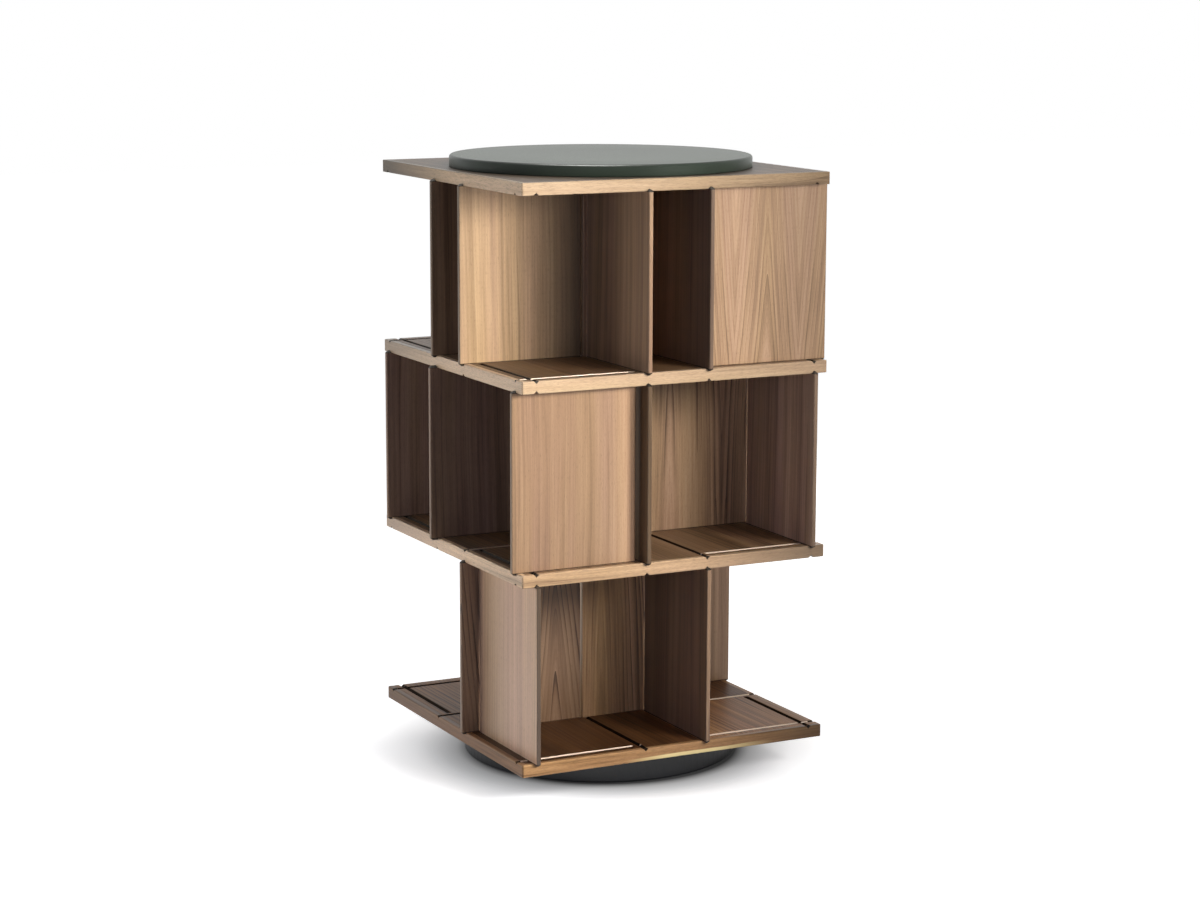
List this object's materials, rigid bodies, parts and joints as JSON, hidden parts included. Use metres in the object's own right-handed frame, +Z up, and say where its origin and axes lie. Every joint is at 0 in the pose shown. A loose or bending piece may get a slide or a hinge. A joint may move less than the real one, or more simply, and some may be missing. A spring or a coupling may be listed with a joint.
{
  "type": "revolving bookcase",
  "caption": "Square tiered bookcase with sliding dividers in V grooves, turning on a low round plinth, with a round leather pad on top.",
  "frame": {"origin": "on the floor, on the axis of rotation", "axes": "+Z up along the axis of rotation, -Y towards the front right edge of the picture, -X towards its left edge"},
  "size_m": [0.622, 0.617, 1.101],
  "materials": {
    "walnut_board": "walnut veneer, open-pored satin lacquer",
    "walnut_edge": "solid walnut edging, satin lacquer",
    "walnut_divider": "walnut veneer, open-pored satin lacquer",
    "walnut_core": "walnut veneer, open-pored satin lacquer",
    "pad_board": "bare fibreboard",
    "leather": "smooth grey-green saddle leather",
    "beech_dowel": "bare beech",
    "black_lacquer": "satin black lacquer on fibreboard",
    "steel": "zinc-plated steel",
    "ballast_iron": "dark sheet iron",
    "floor_rubber": "matt rubber"
  },
  "bodies": {
    "base": {"plinth_disc": "black_lacquer", "ballast_plate": "ballast_iron", "floor_pad": "floor_rubber", "swivel_lower_race": "steel"},
    "ball_cage": {"swivel_ball_cage": "steel"},
    "carcass": {"swivel_upper_race": "steel", "bottom_flange": "steel", "tie_rod": "steel", "clamp_washer": "steel", "clamp_nut": "steel", "bottom_plate": "walnut_board", "lower_shelf": "walnut_board", "upper_shelf": "walnut_board", "top_plate": "walnut_board", "bottom_plate_edging": "walnut_edge", "lower_shelf_edging": "walnut_edge", "upper_shelf_edging": "walnut_edge", "top_plate_edging": "walnut_edge", "core_wall_bottom_front": "walnut_core", "core_wall_bottom_back": "walnut_core", "core_wall_bottom_left": "walnut_core", "core_wall_bottom_right": "walnut_core", "core_wall_middle_front": "walnut_core", "core_wall_middle_back": "walnut_core", "core_wall_middle_left": "walnut_core", "core_wall_middle_right": "walnut_core", "core_wall_top_front": "walnut_core", "core_wall_top_back": "walnut_core", "core_wall_top_left": "walnut_core", "core_wall_top_right": "walnut_core", "pad_board": "pad_board", "pad_dowel_left": "beech_dowel", "pad_dowel_right": "beech_dowel", "leather_cover": "leather"},
    "divider_bottom_left_inner_front": {"divider_bottom_left_inner_front": "walnut_divider"},
    "divider_bottom_front_inner_right": {"divider_bottom_front_inner_right": "walnut_divider"},
    "divider_bottom_right_inner_back": {"divider_bottom_right_inner_back": "walnut_divider"},
    "divider_bottom_back_inner_left": {"divider_bottom_back_inner_left": "walnut_divider"},
    "divider_bottom_front_outer_left": {"divider_bottom_front_outer_left": "walnut_divider"},
    "divider_bottom_back_outer_right": {"divider_bottom_back_outer_right": "walnut_divider"},
    "divider_middle_left_inner_back": {"divider_middle_left_inner_back": "walnut_divider"},
    "divider_middle_front_inner_left": {"divider_middle_front_inner_left": "walnut_divider"},
    "divider_middle_right_inner_front": {"divider_middle_right_inner_front": "walnut_divider"},
    "divider_middle_back_inner_right": {"divider_middle_back_inner_right": "walnut_divider"},
    "divider_middle_left_outer_front": {"divider_middle_left_outer_front": "walnut_divider"},
    "divider_middle_left_outer_back": {"divider_middle_left_outer_back": "walnut_divider"},
    "divider_middle_front_outer_right": {"divider_middle_front_outer_right": "walnut_divider"},
    "divider_middle_right_outer_back": {"divider_middle_right_outer_back": "walnut_divider"},
    "divider_top_left_inner_front": {"divider_top_left_inner_front": "walnut_divider"},
    "divider_top_left_inner_back": {"divider_top_left_inner_back": "walnut_divider"},
    "divider_top_front_inner_left": {"divider_top_front_inner_left": "walnut_divider"},
    "divider_top_front_inner_right": {"divider_top_front_inner_right": "walnut_divider"},
    "divider_top_right_inner_front": {"divider_top_right_inner_front": "walnut_divider"},
    "divider_top_right_inner_back": {"divider_top_right_inner_back": "walnut_divider"},
    "divider_top_back_inner_left": {"divider_top_back_inner_left": "walnut_divider"},
    "divider_top_back_inner_right": {"divider_top_back_inner_right": "walnut_divider"},
    "divider_top_right_outer_front": {"divider_top_right_outer_front": "walnut_divider"},
    "divider_top_back_outer_right": {"divider_top_back_outer_right": "walnut_divider"}
  },
  "joints": [
    {"name": "carcass_spin", "type": "hinge", "parent": "base", "child": "carcass", "pos_m": [0, 0, 0.051], "axis": [0, 0, 1], "continuous": true},
    {"name": "ball_cage_spin", "type": "hinge", "parent": "base", "child": "ball_cage", "pos_m": [0, 0, 0.051], "axis": [0, 0, 1], "continuous": true},
    {"name": "slide_bottom_left_inner_front", "type": "slide", "parent": "carcass", "child": "divider_bottom_left_inner_front", "axis": [-1, 0, 0], "range_m": [0, 0.228]},
    {"name": "slide_bottom_front_inner_right", "type": "slide", "parent": "carcass", "child": "divider_bottom_front_inner_right", "axis": [0, -1, 0], "range_m": [0, 0.228]},
    {"name": "slide_bottom_right_inner_back", "type": "slide", "parent": "carcass", "child": "divider_bottom_right_inner_back", "axis": [1, 0, 0], "range_m": [0, 0.228]},
    {"name": "slide_bottom_back_inner_left", "type": "slide", "parent": "carcass", "child": "divider_bottom_back_inner_left", "axis": [0, 1, 0], "range_m": [0, 0.228]},
    {"name": "slide_bottom_front_outer_left", "type": "slide", "parent": "carcass", "child": "divider_bottom_front_outer_left", "axis": [0, -1, 0], "range_m": [0, 0.228]},
    {"name": "slide_bottom_back_outer_right", "type": "slide", "parent": "carcass", "child": "divider_bottom_back_outer_right", "axis": [0, 1, 0], "range_m": [0, 0.228]},
    {"name": "slide_middle_left_inner_back", "type": "slide", "parent": "carcass", "child": "divider_middle_left_inner_back", "axis": [-1, 0, 0], "range_m": [-0.005, 0.223]},
    {"name": "slide_middle_front_inner_left", "type": "slide", "parent": "carcass", "child": "divider_middle_front_inner_left", "axis": [0, -1, 0], "range_m": [0, 0.228]},
    {"name": "slide_middle_right_inner_front", "type": "slide", "parent": "carcass", "child": "divider_middle_right_inner_front", "axis": [1, 0, 0], "range_m": [0, 0.228]},
    {"name": "slide_middle_back_inner_right", "type": "slide", "parent": "carcass", "child": "divider_middle_back_inner_right", "axis": [0, 1, 0], "range_m": [0, 0.228]},
    {"name": "slide_middle_left_outer_front", "type": "slide", "parent": "carcass", "child": "divider_middle_left_outer_front", "axis": [-1, 0, 0], "range_m": [0, 0.228]},
    {"name": "slide_middle_left_outer_back", "type": "slide", "parent": "carcass", "child": "divider_middle_left_outer_back", "axis": [-1, 0, 0], "range_m": [0, 0.228]},
    {"name": "slide_middle_front_outer_right", "type": "slide", "parent": "carcass", "child": "divider_middle_front_outer_right", "axis": [0, -1, 0], "range_m": [0, 0.228]},
    {"name": "slide_middle_right_outer_back", "type": "slide", "parent": "carcass", "child": "divider_middle_right_outer_back", "axis": [1, 0, 0], "range_m": [0, 0.228]},
    {"name": "slide_top_left_inner_front", "type": "slide", "parent": "carcass", "child": "divider_top_left_inner_front", "axis": [-1, 0, 0], "range_m": [0, 0.228]},
    {"name": "slide_top_left_inner_back", "type": "slide", "parent": "carcass", "child": "divider_top_left_inner_back", "axis": [-1, 0, 0], "range_m": [0, 0.228]},
    {"name": "slide_top_front_inner_left", "type": "slide", "parent": "carcass", "child": "divider_top_front_inner_left", "axis": [0, -1, 0], "range_m": [0, 0.228]},
    {"name": "slide_top_front_inner_right", "type": "slide", "parent": "carcass", "child": "divider_top_front_inner_right", "axis": [0, -1, 0], "range_m": [0, 0.228]},
    {"name": "slide_top_right_inner_front", "type": "slide", "parent": "carcass", "child": "divider_top_right_inner_front", "axis": [1, 0, 0], "range_m": [0, 0.228]},
    {"name": "slide_top_right_inner_back", "type": "slide", "parent": "carcass", "child": "divider_top_right_inner_back", "axis": [1, 0, 0], "range_m": [0, 0.228]},
    {"name": "slide_top_back_inner_left", "type": "slide", "parent": "carcass", "child": "divider_top_back_inner_left", "axis": [0, 1, 0], "range_m": [0, 0.228]},
    {"name": "slide_top_back_inner_right", "type": "slide", "parent": "carcass", "child": "divider_top_back_inner_right", "axis": [0, 1, 0], "range_m": [0, 0.228]},
    {"name": "slide_top_right_outer_front", "type": "slide", "parent": "carcass", "child": "divider_top_right_outer_front", "axis": [1, 0, 0], "range_m": [0, 0.228]},
    {"name": "slide_top_back_outer_right", "type": "slide", "parent": "carcass", "child": "divider_top_back_outer_right", "axis": [0, 1, 0], "range_m": [0, 0.228]}
  ],
  "couplings": [
    {"joint": "ball_cage_spin", "follows": "carcass_spin", "ratio": 0.5}
  ]
}
